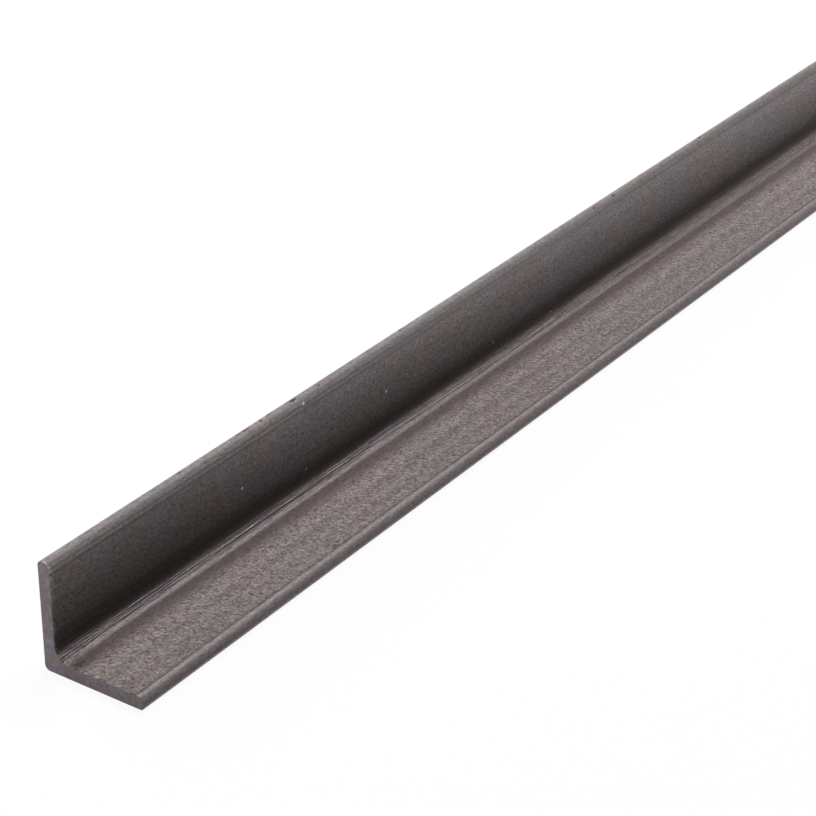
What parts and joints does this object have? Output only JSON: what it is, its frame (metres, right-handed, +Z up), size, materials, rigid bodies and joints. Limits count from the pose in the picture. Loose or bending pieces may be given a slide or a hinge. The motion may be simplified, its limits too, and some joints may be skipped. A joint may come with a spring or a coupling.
{
  "type": "steel angle bar",
  "caption": "Hot-rolled equal-leg steel angle bar with a filleted inside corner, rounded toes and square-cut ends, for frames, brackets and edge supports.",
  "frame": {"origin": "centre of the footprint on the floor: midway along the bar, under the middle of the flat leg's width", "axes": "+X along the bar, away from the end shown nearest; +Y towards the upright leg, whose outer face looks along +Y; +Z up, with the flat leg's outer face on the floor"},
  "size_m": [1, 0.025, 0.025],
  "materials": {
    "mill_scale": "matte"
  },
  "bodies": {
    "root": {"angle_bar": "mill_scale"}
  },
  "joints": []
}
